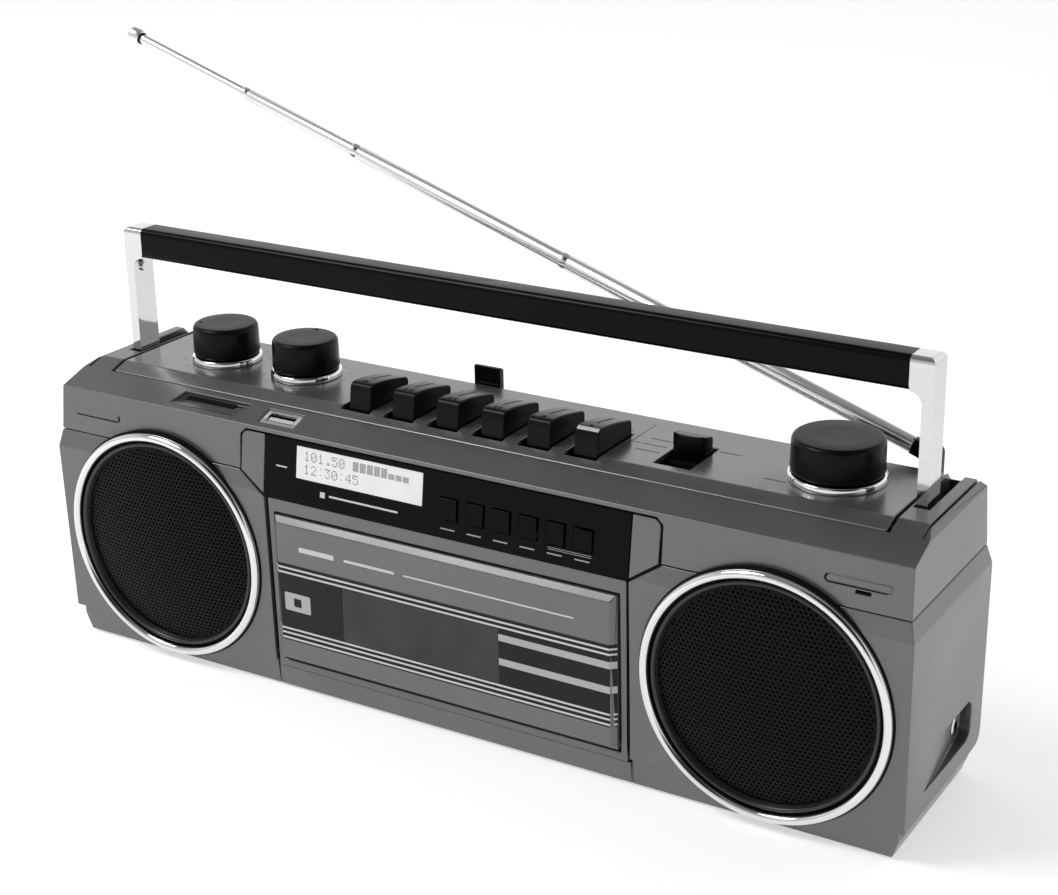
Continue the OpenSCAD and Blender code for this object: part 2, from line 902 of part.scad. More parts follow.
bottom_shell();
middle_cabinet();
upper_cabinet();
rear_cover();
control_plate();
middle_panel();
display_surround();
display_bezel();
display_window();
display_module();
mirror([1, 0, 0]) speaker_ring();  // speaker_ring_l
speaker_ring();  // speaker_ring_r
mirror([1, 0, 0]) speaker_grille();  // speaker_grille_l
speaker_grille();  // speaker_grille_r
mirror([1, 0, 0]) speaker_driver();  // speaker_driver_l
speaker_driver();  // speaker_driver_r
sd_reader();
usb_port();
headphone_socket();
mains_inlet();
battery_door();
main_board();
feet();
case_screws();
handle_grip();
mirror([1, 0, 0]) handle_arm();  // handle_arm_l
handle_arm();  // handle_arm_r
handle_pivots();
knob(0);  // volume_knob
knob(1);  // tone_knob
knob(2);  // tuning_knob
knob_rings();
knob_ring(2);  // tuning_ring
key(1);  // key_1
key(2);  // key_2
key(3);  // key_3
key(4);  // key_4
key(5);  // key_5
key(6);  // key_6
key_axle();
function_lever();
button(1);  // button_1
button(2);  // button_2
button(3);  // button_3
button(4);  // button_4
button(5);  // button_5
button(6);  // button_6
cassette_door();
door_window();
cassette_holder();
tape_chassis();
tape_head();
reel_spindle(-spindle_x);  // reel_spindle_l
reel_spindle(spindle_x);  // reel_spindle_r
aerial_clip();
aerial_turret();
aerial_tube_1();
aerial_tube_2();
aerial_tube_3();
aerial_tip();
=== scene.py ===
"""Boombox: the looks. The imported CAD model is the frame, and places are taken from its nodes'
boxes where one fits. Lengths are in metres. A number given in millimetres is multiplied by MM."""
import json
import math

import bmesh
import bpy
from mathutils import Matrix, Vector

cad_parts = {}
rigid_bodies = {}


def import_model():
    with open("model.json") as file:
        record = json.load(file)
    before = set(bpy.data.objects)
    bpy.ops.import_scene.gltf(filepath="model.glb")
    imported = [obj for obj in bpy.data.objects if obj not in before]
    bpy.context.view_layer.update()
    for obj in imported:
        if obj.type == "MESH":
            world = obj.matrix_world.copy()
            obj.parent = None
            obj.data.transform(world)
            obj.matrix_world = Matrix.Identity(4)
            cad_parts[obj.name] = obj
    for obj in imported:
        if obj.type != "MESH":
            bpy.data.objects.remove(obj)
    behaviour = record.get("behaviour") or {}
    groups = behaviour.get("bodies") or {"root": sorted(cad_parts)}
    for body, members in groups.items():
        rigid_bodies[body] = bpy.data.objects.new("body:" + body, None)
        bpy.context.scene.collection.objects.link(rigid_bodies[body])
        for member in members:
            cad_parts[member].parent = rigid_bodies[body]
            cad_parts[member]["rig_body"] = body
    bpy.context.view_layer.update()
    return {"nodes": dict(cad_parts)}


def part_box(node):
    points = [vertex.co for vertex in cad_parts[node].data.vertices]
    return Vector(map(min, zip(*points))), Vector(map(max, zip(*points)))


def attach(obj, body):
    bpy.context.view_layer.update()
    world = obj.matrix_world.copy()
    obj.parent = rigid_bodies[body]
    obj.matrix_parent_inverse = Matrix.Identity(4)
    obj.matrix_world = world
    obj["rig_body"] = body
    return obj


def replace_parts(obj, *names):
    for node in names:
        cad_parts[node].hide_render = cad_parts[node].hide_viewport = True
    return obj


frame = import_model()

MM = 0.001
NODES = frame["nodes"]

# How far each surface leans back from upright. A negative one leans forward.
BEZEL_LEAN = math.radians(7.64)
FRONT_LEAN = math.radians(-1.03)
CORNER_LEAN = math.radians(5.6)
# How far the prints on the cassette door lean forward.
DOOR_LEAN = math.radians(0.28)
# How far the bevel rises from level, and the aerial at rest.
BEVEL_LEAN = math.radians(19.3)
AERIAL_TILT = math.radians(18.5)

# Parts of a noise's range over which colour and gloss go from one end to the other.
COLOUR_SPAN = (0.35, 0.65)
GLOSS_SPAN = (0.3, 0.7)
# Shares of the fine grain and the slow patches in a colour.
GRAIN_SHARE = 0.6
PATCH_SHARE = 0.4
COAT_ROUGH = 0.12
# Steps round the speaker rings and round the knobs.
RING_STEPS = 192
KNOB_STEPS = 160


# ---------- materials ----------

class Graph:
    """Short names for building one material's nodes."""

    def __init__(self, name):
        self.mat = bpy.data.materials.new(name)
        self.mat.use_nodes = True
        self.tree = self.mat.node_tree
        self.bsdf = self.tree.nodes["Principled BSDF"]
        self.coord = self.tree.nodes.new("ShaderNodeTexCoord").outputs["Object"]

    def add(self, kind, **values):
        """Adds a node. Each value goes into the input of that name, or else is a setting."""
        node = self.tree.nodes.new("ShaderNode" + kind)
        for key, value in values.items():
            if key in node.inputs:
                self.put(node.inputs[key], value)
            else:
                setattr(node, key, value)
        return node

    def put(self, socket, value):
        """Links an output to the input, or writes a plain value into it."""
        if isinstance(value, bpy.types.NodeSocket):
            self.tree.links.new(value, socket)
        else:
            socket.default_value = value

    def noise(self, scale, detail):
        node = self.add("TexNoise", Scale=scale, Detail=detail, Roughness=0.5, Vector=self.coord)
        return node.outputs["Fac"]

    def ramp(self, fac, dark, light):
        node = self.add("ValToRGB", Fac=fac)
        stops = node.color_ramp.elements
        stops[0].position, stops[1].position = COLOUR_SPAN
        stops[0].color = (*dark, 1)
        stops[1].color = (*light, 1)
        return node.outputs["Color"]

    def span(self, fac, least, most):
        node = self.add("MapRange", Value=fac)
        node.inputs["From Min"].default_value, node.inputs["From Max"].default_value = GLOSS_SPAN
        node.inputs["To Min"].default_value = least
        node.inputs["To Max"].default_value = most
        return node.outputs["Result"]

    def bump(self, height, strength):
        node = self.add("Bump", Height=height, Strength=strength, Distance=0.1 * MM)
        return node.outputs["Normal"]


def shade(value):
    """A plain grey."""
    return (value, value, value)


def surface(name, colour, rough, metal=0.0, vary=0.06, grain=900, bump=0.05, patch=25,
            rough_vary=0.05, coat=0.0, spec=0.5, glow=0.0):
    """Moulded or painted surface: fine grain, slow patches of wear and a slightly uneven gloss."""
    g = Graph(name)
    dark = tuple(c * (1 - vary) for c in colour)
    light = tuple(min(1, c * (1 + vary)) for c in colour)
    fine = g.noise(grain, 2.0)
    slow = g.noise(patch, 4.0)
    mix = g.add("Math", operation="MULTIPLY_ADD")
    g.put(mix.inputs[0], fine)
    mix.inputs[1].default_value = GRAIN_SHARE
    part = g.add("Math", operation="MULTIPLY")
    g.put(part.inputs[0], slow)
    part.inputs[1].default_value = PATCH_SHARE
    g.put(mix.inputs[2], part.outputs[0])
    g.put(g.bsdf.inputs["Base Color"], g.ramp(mix.outputs[0], dark, light))
    g.put(g.bsdf.inputs["Roughness"], g.span(slow, rough - rough_vary, rough + rough_vary))
    g.put(g.bsdf.inputs["Normal"], g.bump(fine, bump))
    g.bsdf.inputs["Metallic"].default_value = metal
    g.bsdf.inputs["Specular IOR Level"].default_value = spec
    if glow:
        g.bsdf.inputs["Emission Color"].default_value = (1, 1, 1, 1)
        g.bsdf.inputs["Emission Strength"].default_value = glow
    if coat:
        g.bsdf.inputs["Coat Weight"].default_value = coat
        g.bsdf.inputs["Coat Roughness"].default_value = COAT_ROUGH
    return g.mat


M = {
    "body": surface("body_paint", shade(0.15), 0.32, metal=0.55, vary=0.10, grain=2600,
                    bump=0.06, coat=0.15),
    "plate": surface("plate_paint", shade(0.19), 0.27, metal=0.62, vary=0.09, grain=2600,
                     bump=0.05, coat=0.2),
    "dark": surface("dark_plastic", shade(0.03), 0.55, vary=0.15, grain=1400, bump=0.25,
                    spec=0.35),
    # Near-black for slots, grooves and dark marks; it also paints the shadow band round each
    # speaker ring.
    "cavity": surface("cavity_and_shadow_plastic", shade(0.005), 0.7, vary=0.2, grain=1400, bump=0.2,
                      spec=0.12),
    "gloss": surface("gloss_black", shade(0.0022), 0.13, vary=0.2, grain=500, bump=0.02,
                     rough_vary=0.04, spec=0.07),
    "satin": surface("satin_black", shade(0.0028), 0.34, vary=0.18, grain=1800, bump=0.12,
                     rough_vary=0.06, spec=0.13),
    "key": surface("key_plastic", shade(0.0028), 0.28, vary=0.2, grain=1500, bump=0.08,
                   rough_vary=0.06, spec=0.13),
    "mesh": surface("grille_paint", shade(0.0028), 0.35, vary=0.2, grain=1500, bump=0.05,
                    spec=0.10),
    "chrome": surface("chrome_plate", shade(0.76), 0.05, metal=1.0, vary=0.02, grain=300,
                      bump=0.01, rough_vary=0.02),
    "arm": surface("arm_chrome", shade(0.64), 0.08, metal=1.0, vary=0.03, grain=600, bump=0.02,
                   rough_vary=0.03),
    "aerial": surface("aerial_chrome", shade(0.80), 0.26, metal=1.0, vary=0.03, grain=600,
                      bump=0.02, rough_vary=0.03),
    "grip": surface("grip_black", shade(0.0012), 0.20, vary=0.2, grain=700, bump=0.03,
                    rough_vary=0.05, spec=0.09),
    "steel": surface("steel", shade(0.5), 0.28, metal=1.0, vary=0.08, grain=900, bump=0.06),
    "rubber": surface("rubber", shade(0.02), 0.8, vary=0.2, grain=900, bump=0.4),
    "board": surface("circuit_board", (0.02, 0.09, 0.035), 0.45, vary=0.25, grain=300, bump=0.2),
    "white": surface("white_plastic", shade(0.72), 0.42, vary=0.04, grain=900, bump=0.08),
    # Pale print; it also paints the highlight along the last key's front top edge.
    "ink": surface("pale_print_and_highlight", shade(0.62), 0.5, vary=0.06, grain=2000, bump=0.03),
    "silver_ink": surface("silver_print", shade(0.42), 0.34, metal=0.35, vary=0.08, grain=2400,
                          bump=0.03),
    "dark_ink": surface("dark_print", shade(0.010), 0.32, vary=0.15, grain=1800, bump=0.03,
                        spec=0.2),
    # The grille's lip: a grey lighter than the other blacks, partly its own tone and partly a
    # painted highlight line.
    "lip": surface("grille_lip_grey_and_highlight", shade(0.02), 0.30, vary=0.1, grain=1500, bump=0.05,
                   spec=0.45),
    "smoke": surface("smoke_glass", shade(0.040), 0.16, vary=0.25, grain=60, bump=0.01,
                     rough_vary=0.03, spec=0.25),
    "lcd": surface("lcd_face", shade(0.80), 0.25, vary=0.04, grain=120, bump=0.0, patch=40,
                   rough_vary=0.03, glow=0.08),
    "lcd_ink": surface("lcd_segments", shade(0.22), 0.3, vary=0.06, grain=900, bump=0.01),
    "button_ink": surface("button_print", shade(0.33), 0.5, vary=0.08, grain=2000, bump=0.03),
    "plate_ink": surface("plate_print", shade(0.045), 0.5, vary=0.12, grain=2000, bump=0.03),
    "paper": surface("speaker_cone", shade(0.02), 0.6, vary=0.3, grain=700, bump=0.5),
}


# ---------- mesh helpers ----------

def link(mesh, name, mat, body, matrix=None, smooth=40):
    """Makes the object, gives it its material and puts it on its body."""
    obj = bpy.data.objects.new(name, mesh)
    bpy.context.scene.collection.objects.link(obj)
    if matrix is not None:
        obj.matrix_world = matrix
    mesh.materials.append(M[mat])
    bpy.context.view_layer.update()
    if smooth:
        mesh.shade_smooth()
        mesh.set_sharp_from_angle(angle=math.radians(smooth))
    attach(obj, body)
    return obj


def to_mesh(bm, name):
    """The mesh of the faces drawn so far."""
    mesh = bpy.data.meshes.new(name)
    bm.to_mesh(mesh)
    bm.free()
    return mesh


def outward(bm):
    """Turns the faces of a closed shape outwards."""
    bmesh.ops.recalc_face_normals(bm, faces=bm.faces)


def block(bm, base, top):
    """Faces of a closed block between two outlines of vertices."""
    bm.faces.new(base[::-1])
    bm.faces.new(top)
    for k in range(len(base)):
        n = (k + 1) % len(base)
        bm.faces.new((base[k], base[n], top[n], top[k]))


def metres(points):
    """Points given in millimetres."""
    return [tuple(v * MM for v in point) for point in points]


def soften(obj, width, segments=2, angle=30, clamp=False):
    """Rounds the sharp edges."""
    mod = obj.modifiers.new("edges", "BEVEL")
    mod.width = width
    mod.segments = segments
    mod.limit_method = "ANGLE"
    mod.angle_limit = math.radians(angle)
    mod.use_clamp_overlap = clamp
    mod.harden_normals = True
    return obj


def lathe(name, profile, mat, body, matrix, steps=128, smooth=35):
    """Turns [radius, height] points about local Z. A zero radius closes the end."""
    bm = bmesh.new()
    rings = []
    for r, h in profile:
        if r < 1e-9:
            rings.append([bm.verts.new((0, 0, h))])
        else:
            rings.append([bm.verts.new((r * math.cos(a), r * math.sin(a), h))
                          for a in (2 * math.pi * k / steps for k in range(steps))])
    for a, b in zip(rings, rings[1:]):
        for k in range(steps):
            n = (k + 1) % steps
            loop = [a[k % len(a)], a[n % len(a)], b[n % len(b)], b[k % len(b)]]
            loop = list(dict.fromkeys(loop))
            if len(loop) > 2:
                bm.faces.new(loop)
    outward(bm)
    return link(to_mesh(bm, name), name, mat, body, matrix, smooth)


def prism(name, outline, z0, z1, mat, body, matrix, bevel=0.0, segments=2, smooth=40):
    """Extrudes a closed outline of [x, y] points along local Z, from z0 to z1."""
    bm = bmesh.new()
    base = [bm.verts.new((x, y, z0)) for x, y in outline]
    top = [bm.verts.new((x, y, z1)) for x, y in outline]
    block(bm, base, top)
    outward(bm)
    obj = link(to_mesh(bm, name), name, mat, body, matrix, smooth)
    if bevel:
        soften(obj, bevel, segments)
    return obj


def rounded(x0, y0, x1, y1, r, steps=6):
    """Outline of a rectangle with rounded corners."""
    points = []
    for cx, cy, turn in ((x1 - r, y0 + r, -90), (x1 - r, y1 - r, 0), (x0 + r, y1 - r, 90),
                         (x0 + r, y0 + r, 180)):
        for k in range(steps + 1):
            a = math.radians(turn + 90 * k / steps)
            points.append((cx + r * math.cos(a), cy + r * math.sin(a)))
    return points


def refine(node, mat, bevel=0.35 * MM, segments=2, angle=10, clamp=False):
    """Stands in for a CAD node with the same shape: merged faces and softened edges."""
    weld, flat = 0.002 * MM, math.radians(1.0)
    mesh = NODES[node].data.copy()
    mesh.materials.clear()
    bm = bmesh.new()
    bm.from_mesh(mesh)
    bmesh.ops.remove_doubles(bm, verts=bm.verts, dist=weld)
    bmesh.ops.dissolve_limit(bm, angle_limit=flat, verts=bm.verts, edges=bm.edges)
    bm.to_mesh(mesh)
    bm.free()
    if mesh.has_custom_normals:
        mesh.attributes.remove(mesh.attributes["custom_normal"])
    obj = link(mesh, node + "_skin", mat, NODES[node]["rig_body"], smooth=angle)
    if bevel:
        soften(obj, bevel, segments, angle, clamp)
    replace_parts(obj, node)
    return obj


def repaint(node, mat):
    """Keeps a CAD node and gives it its material."""
    mesh = NODES[node].data
    mesh.materials.clear()
    mesh.materials.append(M[mat])


def low(node):
    """Corner of the node's box with the lowest x, y and z."""
    return Vector(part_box(node)[0])


def high(node):
    """Corner of the node's box with the highest x, y and z."""
    return Vector(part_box(node)[1])


def middle(node):
    """Middle of the node's box."""
    return (low(node) + high(node)) / 2


def lean(origin, angle):
    """Frame on a slope: X runs along it, Y up it, and Z points out of the surface."""
    return Matrix.Translation(origin) @ Matrix.Rotation(angle, 4, "X")


def strip(name, path, z0, z1, mat, body, matrix=None, thick=0.15 * MM, smooth=20):
    """A thin band along the [x, y] path, from z0 to z1: prints, key marks and a painted highlight.
    It is sunk by its thickness.
    """
    bm = bmesh.new()
    rows = []
    for i, (x, y) in enumerate(path):
        a = Vector(path[max(i - 1, 0)])
        b = Vector(path[min(i + 1, len(path) - 1)])
        along = (b - a).normalized()
        back = Vector((-along.y, along.x)) * thick
        rows.append([bm.verts.new((x, y, z0)), bm.verts.new((x, y, z1)),
                     bm.verts.new((x + back.x, y + back.y, z1)),
                     bm.verts.new((x + back.x, y + back.y, z0))])
    for a, b in zip(rows, rows[1:]):
        for k in range(4):
            n = (k + 1) % 4
            bm.faces.new((a[k], b[k], b[n], a[n]))
    bm.faces.new(rows[0])
    bm.faces.new(rows[-1][::-1])
    outward(bm)
    return link(to_mesh(bm, name), name, mat, body, matrix, smooth)


def marks(name, boxes, mat, body, matrix, lift=0.03 * MM, sink=0.1 * MM):
    """Flat prints [x0, y0, x1, y1] on a surface, as one mesh of thin plates."""
    bm = bmesh.new()
    for x0, y0, x1, y1 in boxes:
        corners = ((x0, y0), (x1, y0), (x1, y1), (x0, y1))
        base = [bm.verts.new((x, y, -sink)) for x, y in corners]
        top = [bm.verts.new((x, y, lift)) for x, y in corners]
        block(bm, base, top)
    return link(to_mesh(bm, name), name, mat, body, matrix, 0)


def pill(length, radius, steps=12):
    """Outline of a bar with round ends, centred."""
    half = length / 2 - radius
    right = [(half + radius * math.cos(a), radius * math.sin(a))
             for a in (math.radians(-90 + 180 * k / steps) for k in range(steps + 1))]
    return right + [(-x, -y) for x, y in right]


def shift(matrix, x, y, z):
    """The same frame, moved along its own axes."""
    return matrix @ Matrix.Translation((x, y, z))


# ---------- places on the body ----------

# Local frames: the display's front, the bevel before the top plate, and the top plate.
BEZEL = lean(Vector((0, low("display_bezel").y, low("display_bezel").z + 0.32 * MM)),
             math.pi / 2 - BEZEL_LEAN)
BEVEL = lean(Vector((0, low("usb_port").y - 3.5 * MM, high("usb_port").z - 3.37 * MM)),
             BEVEL_LEAN)
PLATE_TOP = high("control_plate").z
PLATE = Matrix.Translation((0, 0, PLATE_TOP))
# A key is drawn from the side: its outline's X is the model's Y, and its height is the model's Z.
KEY_SIDE = Matrix(((0, 0, 1, 0), (1, 0, 0, 0), (0, 1, 0, PLATE_TOP), (0, 0, 0, 1)))


# ---------- cabinet ----------

def cabinet():
    """The shells with softened edges, and the plain nodes with only their material."""
    for node, mat, bevel in (
            ("bottom_shell", "body", 0.35), ("middle_cabinet", "body", 0.5),
            ("upper_cabinet", "body", 0.4), ("control_plate", "plate", 0.5),
            ("middle_panel", "body", 0.5), ("rear_cover", "dark", 0.3),
            ("battery_door", "dark", 0.3), ("aerial_clip", "satin", 0.3)):
        refine(node, mat, bevel * MM)
    for node, mat in (
            ("sd_reader", "cavity"), ("usb_port", "chrome"), ("headphone_socket", "chrome"),
            ("mains_inlet", "dark"), ("main_board", "board"), ("feet", "rubber"),
            ("case_screws", "steel"), ("handle_pivots", "steel"), ("key_axle", "steel"),
            ("cassette_holder", "dark"), ("tape_chassis", "dark"), ("tape_head", "steel"),
            ("reel_spindle_l", "white"), ("reel_spindle_r", "white"), ("aerial_turret", "satin"),
            ("display_module", "white"), ("speaker_driver_l", "paper"),
            ("speaker_driver_r", "paper")):
        repaint(node, mat)


def corner_bars():
    """A raised bar with a dark outline high up at each end of the front."""
    face_y = low("upper_cabinet").y + 0.9 * MM
    bar_z = 107.8 * MM
    for side, x in (("l", -177.5), ("r", 176.8)):
        place = lean(Vector((x * MM, face_y, bar_z)), math.pi / 2 - CORNER_LEAN)
        prism("bar_outline_" + side, pill(25.4 * MM, 1.75 * MM), -0.4 * MM, 0.04 * MM,
              "cavity", "cabinet", place)
        prism("bar_" + side, pill(23.6 * MM, 0.95 * MM), -0.4 * MM, 0.45 * MM, "body",
              "cabinet", place, bevel=0.3 * MM, segments=3)


def sd_ramp():
    """Sloping floor of the card pocket: a wedge in the bevel, deeper towards its top."""
    front, rear = 3.55, 9.1
    left, right, skew = -139.9, -105.1, 1.7
    shallow, deep, floor_z = -0.05, -1.97, -1.99
    corners = [(left, front, shallow), (right, front, shallow), (right + skew, rear, deep),
               (left + skew, rear, deep), (left, front, floor_z), (right, front, floor_z)]
    bm = bmesh.new()
    v = [bm.verts.new(p) for p in metres(corners)]
    for loop in ((0, 1, 2, 3), (0, 3, 4), (1, 5, 2), (0, 4, 5, 1), (3, 2, 5, 4)):
        bm.faces.new([v[k] for k in loop])
    outward(bm)
    link(to_mesh(bm, "sd_ramp"), "sd_ramp", "body", "cabinet", BEVEL, 0)


def sockets():
    """Black mouth of the card slot, and the pale tongue of the USB socket."""
    marks("sd_mouth", [(-136 * MM, 8.9 * MM, -110 * MM, 12.05 * MM)], "cavity", "cabinet",
          shift(BEVEL, 0, 0, -1.9 * MM))
    left = low("usb_port").x
    depth = -13 * MM
    tongue = rounded(left + 2.9 * MM, 6.4 * MM, left + 15 * MM, 8.4 * MM, 0.3 * MM, 3)
    prism("usb_tongue", tongue, depth, -1.0 * MM, "white", "cabinet", BEVEL, bevel=0.15 * MM)
    lip = rounded(left + 2.6 * MM, 5.0 * MM, left + 15.3 * MM, 5.5 * MM, 0.2 * MM, 3)
    prism("usb_shield", lip, depth, -0.7 * MM, "chrome", "cabinet", BEVEL)


def plate_prints():
    """Plain dashes where the controls would be labelled, and dots round the two left knobs."""
    thick, thin = 0.7 * MM, 0.4 * MM
    boxes = []

    def dash(x0, x1, y, height=thick):
        boxes.append((x0, y, x1, y + height))

    for i in range(1, 7):
        x = middle(f"key_{i}").x
        dash(x - 3.4 * MM, x + 3.4 * MM, 16.4 * MM)
    lever_x = middle("function_lever").x
    for y in (12.2, 6.0, -0.4):
        dash(lever_x - 21 * MM, lever_x - 10.5 * MM, y * MM)
    dash(lever_x + 9.5 * MM, lever_x + 19 * MM, 12.2 * MM)
    bracket_x, bracket_y = lever_x - 26.4 * MM, 6 * MM
    dash(bracket_x, bracket_x + thin, bracket_y, 21 * MM)
    dash(bracket_x, lever_x - 22 * MM, bracket_y, thin)
    dial = middle("tuning_knob")
    dash(dial.x - 24 * MM, dial.x - 15 * MM, dial.y - 14 * MM)
    reach, half = 18.4 * MM, thick / 2
    for node in ("volume_knob", "tone_knob"):
        centre = middle(node)
        for k in range(11):
            a = math.radians(-150 + 30 * k)
            x = centre.x + reach * math.sin(a)
            y = centre.y + reach * math.cos(a)
            dash(x - half, x + half, y - half)
    marks("plate_prints", boxes, "plate_ink", "cabinet", PLATE)


# ---------- speakers ----------

GRILLE_R = 44.6 * MM
# Distance between the rows of a honeycomb, as a share of the distance between holes in a row.
ROW_SHARE = 0.866
HOLE_SIDES = 12
DOME_R = 268 * MM
DOME_TOP = 2.6 * MM


def dome(r):
    """Height of the grille's dome above the front at a distance from its middle."""
    return DOME_TOP - DOME_R + math.sqrt(DOME_R * DOME_R - r * r)


def perforated(name, pitch=2.0 * MM, hole=0.56 * MM, thick=0.7 * MM):
    """Round domed sheet with a honeycomb of round holes."""
    bm = bmesh.new()
    turns = [math.radians(360 / HOLE_SIDES * k) for k in range(HOLE_SIDES)]
    edge = [pitch / 2 / max(math.cos(a - math.radians(60 * round(math.degrees(a) / 60))), 0.5)
            for a in turns]
    row = pitch * ROW_SHARE
    rows = int(GRILLE_R / row) + 1

    def point(x, y, drop=0.0):
        """Vertex on the dome or below it, held within the sheet's radius."""
        r = math.hypot(x, y)
        if r > GRILLE_R:
            x, y, r = x * GRILLE_R / r, y * GRILLE_R / r, GRILLE_R
        return bm.verts.new((x, y, dome(r) - drop))

    for j in range(-rows, rows + 1):
        for i in range(-rows - 2, rows + 3):
            cx = (i + 0.5 * (j % 2)) * pitch
            cy = j * row
            r = math.hypot(cx, cy)
            if r > GRILLE_R + 0.3 * pitch:
                continue
            outer = [point(cx + e * math.cos(a), cy + e * math.sin(a))
                     for e, a in zip(edge, turns)]
            if r > GRILLE_R - 0.6 * pitch:
                bm.faces.new(outer)
                continue
            rim = [point(cx + hole * math.cos(a), cy + hole * math.sin(a)) for a in turns]
            back = [point(cx + hole * math.cos(a), cy + hole * math.sin(a), thick)
                    for a in turns]
            for k in range(HOLE_SIDES):
                n = (k + 1) % HOLE_SIDES
                bm.faces.new((outer[k], outer[n], rim[n], rim[k]))
                bm.faces.new((rim[k], rim[n], back[n], back[k]))
    bmesh.ops.remove_doubles(bm, verts=bm.verts, dist=0.01 * MM)
    return to_mesh(bm, name)


# Sections of the parts round a speaker: radius, and height over the front, in millimetres.
RING_BAND = ((47.7, -3.6), (47.7, 0.9), (47.85, 1.7), (48.25, 2.35), (48.9, 2.8), (49.6, 2.95),
             (50.3, 2.75), (50.9, 2.3), (51.3, 1.6), (51.45, 0.9), (51.4, 0.5))
# Painted shadow: a dark band lying on the front round the ring, over the wall of its gap.
RING_SHADOW = ((51.2, 0.55), (51.5, 0.5), (51.6, 0.1), (52.1, 0.1), (52.1, -0.1), (51.6, -0.2),
               (51.6, -3.4))
RING_GROOVE = ((47.8, 0.3), (47.6, -0.9), (46.5, -0.9), (46.5, -2.4))
GRILLE_LIP = ((46.65, -2.4), (46.65, 0.5), (46.5, 1.0), (46.1, 1.25), (45.6, 1.2), (45.1, 0.7),
              (44.9, -0.2), (44.5, -1.15), (44.3, -1.6))


def speaker(side):
    """Chrome ring, painted shadow round it, dark groove in it, grille lip and perforated sheet."""
    ring = middle("speaker_ring_" + side)
    place = lean(Vector((ring.x, ring.y - 0.5 * MM, ring.z)), math.pi / 2 - FRONT_LEAN)

    def turned(name, section, mat, smooth=35):
        return lathe(name + side, metres(section), mat, "cabinet", place, RING_STEPS, smooth)

    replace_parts(turned("ring_band_", RING_BAND, "chrome", 60), "speaker_ring_" + side)
    # Painted shadow round the ring, in the near-black material.
    turned("ring_shadow_", RING_SHADOW, "cavity")
    turned("ring_groove_", RING_GROOVE, "cavity")
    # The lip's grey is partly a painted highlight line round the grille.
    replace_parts(turned("grille_lip_", GRILLE_LIP, "lip", 60), "speaker_grille_" + side)
    sheet = link(perforated("grille_sheet_" + side), "grille_sheet_" + side, "mesh", "cabinet",
                 place, 50)
    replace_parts(sheet, "speaker_grille_" + side)


# ---------- display ----------

# Rows of five dots from the top down. # and = are a full and a low bar of the level row.
DIGITS = {
    "0": "01110 10001 10011 10101 11001 10001 01110",
    "1": "00100 01100 00100 00100 00100 00100 01110",
    "2": "01110 10001 00001 00010 00100 01000 11111",
    "3": "11111 00010 00100 00010 00001 10001 01110",
    "4": "00010 00110 01010 10010 11111 00010 00010",
    "5": "11111 10000 11110 00001 00001 10001 01110",
    ":": "00000 00100 00000 00000 00000 00100 00000",
    ".": "00000 00000 00000 00000 00000 00110 00110",
    "#": "11111 11111 11111 11111 11111 11111 11111",
    "=": "00000 00000 00000 11111 11111 11111 11111",
    " ": "00000 00000 00000 00000 00000 00000 00000",
}


def dots(text, x, y, pitch):
    """Dot matrix boxes of one line of signs, five by seven dots each, from its lower left."""
    boxes = []
    size = 0.8 * pitch
    for n, sign in enumerate(text):
        for row, bits in enumerate(DIGITS[sign].split()):
            for col, bit in enumerate(bits):
                if bit == "1":
                    px = x + (6 * n + col) * pitch
                    py = y + (6 - row) * pitch
                    boxes.append((px, py, px + size, py + size))
    return boxes


def surround():
    """Body-coloured blocks at both ends of the display, and the dark recess between them."""
    flange = refine("display_surround", "cavity", 0)
    flange.location += BEZEL.to_3x3() @ Vector((0, 0, -1.2 * MM))
    inner, top = 86.3, 26.0
    corner_x, corner_y, corner_r = 95.3, 23.1, 2.9
    for side, sign in (("l", -1), ("r", 1)):
        outline = [(inner, 0.75), (98.1, 8.9), (98.25, 9.3)]
        outline += [(corner_x + corner_r * math.cos(a), corner_y + corner_r * math.sin(a))
                    for a in (math.radians(15 * k) for k in range(7))]
        outline += [(inner, top)]
        outline = metres((sign * x, y) for x, y in outline)
        end = prism("surround_" + side, outline, -4 * MM, 0, "body", "cabinet", BEZEL,
                    bevel=0.45 * MM, segments=3)
        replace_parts(end, "display_surround")


def display():
    """Black panel with the lit display: a frequency, a level row and a time, all made up."""
    surround()
    refine("display_bezel", "gloss", 0.25 * MM)
    face_z = -0.25 * MM
    glass = prism("lcd", rounded(-69.9 * MM, 10.5 * MM, -7.7 * MM, 24.2 * MM, 0.3 * MM),
                  -1.9 * MM, face_z, "lcd", "cabinet", BEZEL, bevel=0.12 * MM)
    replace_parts(glass, "display_window")
    text_x, pitch = -66 * MM, 0.58 * MM
    boxes = dots("101.50 #####===", text_x, 18.6 * MM, pitch)
    boxes += dots("12:30:45", text_x, 13.0 * MM, pitch)
    marks("lcd_dots", boxes, "lcd_ink", "cabinet", shift(BEZEL, 0, 0, face_z))
    boxes = metres(((-80, 13.8, -74.4, 14.4), (-57.3, 4.6, -54.9, 7.0), (-52.8, 5.4, -19.0, 6.2)))
    marks("panel_marks", boxes, "ink", "cabinet", BEZEL)
    boxes = []
    for i in range(1, 7):
        x = middle(f"button_{i}").x
        boxes.append((x - 3.3 * MM, 3.3 * MM, x + 3.3 * MM, 3.85 * MM))
    for y in (5.2, 5.95):
        boxes.append((50.7 * MM, y * MM, 69.9 * MM, (y + 0.22) * MM))
    marks("button_marks", boxes, "button_ink", "cabinet", BEZEL)


def buttons():
    """Six square buttons in the black panel."""
    for i in range(1, 7):
        x = middle(f"button_{i}").x
        outline = rounded(x - 4.1 * MM, 7.5 * MM, x + 4.1 * MM, 16.2 * MM, 0.35 * MM, 3)
        cap = prism(f"button_cap_{i}", outline, -4.2 * MM, 0.72 * MM, "gloss", f"menu_{i}",
                    BEZEL, bevel=0.35 * MM, segments=3)
        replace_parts(cap, f"button_{i}")


# ---------- cassette door ----------

